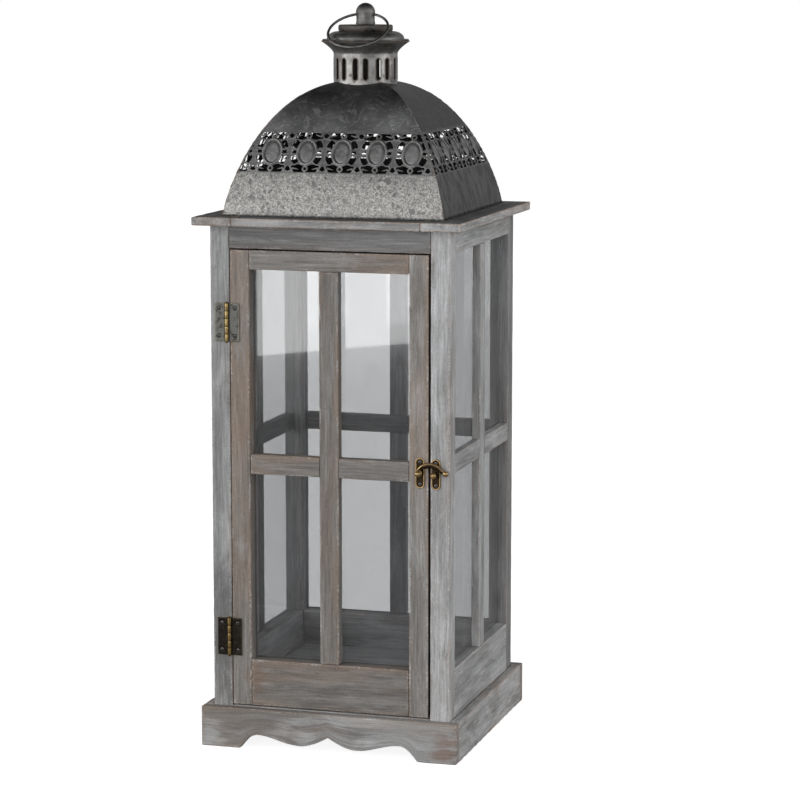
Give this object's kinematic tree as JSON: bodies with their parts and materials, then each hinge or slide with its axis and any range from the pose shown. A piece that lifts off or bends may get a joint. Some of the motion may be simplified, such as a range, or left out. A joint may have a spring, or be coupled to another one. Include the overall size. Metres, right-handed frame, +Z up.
{
  "type": "candle lantern",
  "caption": "Tall square timber candle lantern with a glazed, hinged door, scalloped plinth and a domed sheet-metal roof with a vented collar and carrying ring.",
  "frame": {"origin": "on the ground, at the centre of the plinth", "axes": "+Z up, the door faces -Y, the right-hand side is +X"},
  "size_m": [0.257, 0.257, 0.693],
  "materials": {
    "frame_wood": "limed, wire-brushed, worn arrises",
    "door_wood": "limed, wire-brushed, warmer than the frame",
    "plinth_wood": "limed, wire-brushed, patchy whitewash",
    "roof_sheet": "galvanised sheet, spangled and darkened",
    "vent_metal": "dark patinated steel with rust",
    "glass": "clear float glass",
    "hinge_brass": "aged bronze, bright knuckle",
    "latch_brass": "antique brass, burnished high spots"
  },
  "bodies": {
    "case": {"back_bottom_rail": "frame_wood", "back_glass": "glass", "back_muntin_level": "frame_wood", "back_muntin_upright": "frame_wood", "back_top_rail": "frame_wood", "finial": "vent_metal", "floor_board": "frame_wood", "header_front": "frame_wood", "hinge_lower_pin": "hinge_brass", "hinge_lower_post_leaf": "hinge_brass", "hinge_upper_pin": "hinge_brass", "hinge_upper_post_leaf": "hinge_brass", "latch_keeper_stud": "latch_brass", "latch_post_plate": "latch_brass", "left_bottom_rail": "frame_wood", "left_glass": "glass", "left_muntin_level": "frame_wood", "left_muntin_upright": "frame_wood", "left_top_rail": "frame_wood", "plinth_back": "plinth_wood", "plinth_front": "plinth_wood", "plinth_left": "plinth_wood", "plinth_right": "plinth_wood", "post_back_left": "frame_wood", "post_back_right": "frame_wood", "post_front_left": "frame_wood", "post_front_right": "frame_wood", "right_bottom_rail": "frame_wood", "right_glass": "glass", "right_muntin_level": "frame_wood", "right_muntin_upright": "frame_wood", "right_top_rail": "frame_wood", "roof_panel_back": "roof_sheet", "roof_panel_front": "roof_sheet", "roof_panel_left": "roof_sheet", "roof_panel_right": "roof_sheet", "sill_front": "frame_wood", "slab_back": "frame_wood", "slab_front": "frame_wood", "slab_left": "frame_wood", "slab_right": "frame_wood", "vent_cap": "vent_metal", "vent_collar": "vent_metal"},
    "door": {"door_glass": "glass", "door_muntin_level": "door_wood", "door_muntin_upright": "door_wood", "door_rail_bottom": "door_wood", "door_rail_top": "door_wood", "door_stile_left": "door_wood", "door_stile_right": "door_wood", "hinge_lower_door_leaf": "hinge_brass", "hinge_upper_door_leaf": "hinge_brass", "latch_door_plate": "latch_brass", "latch_pivot_stud": "latch_brass"},
    "hook": {"latch_hook": "latch_brass"},
    "ring": {"carrying_ring": "vent_metal"}
  },
  "joints": [
    {"name": "door_hinge", "type": "hinge", "parent": "case", "child": "door", "pos_m": [-0.0985, -0.1172, 0.2546], "axis": [0, 0, -1], "range_deg": [0, 170]},
    {"name": "hook_pivot", "type": "hinge", "parent": "door", "child": "hook", "pos_m": [0.0862, -0.1179, 0.2698], "axis": [0, -1, 0], "range_deg": [0, 110]},
    {"name": "ring_swing", "type": "hinge", "parent": "case", "child": "ring", "pos_m": [0, 0, 0.6829], "axis": [-1, 0, 0], "range_deg": [0, 244]}
  ]
}
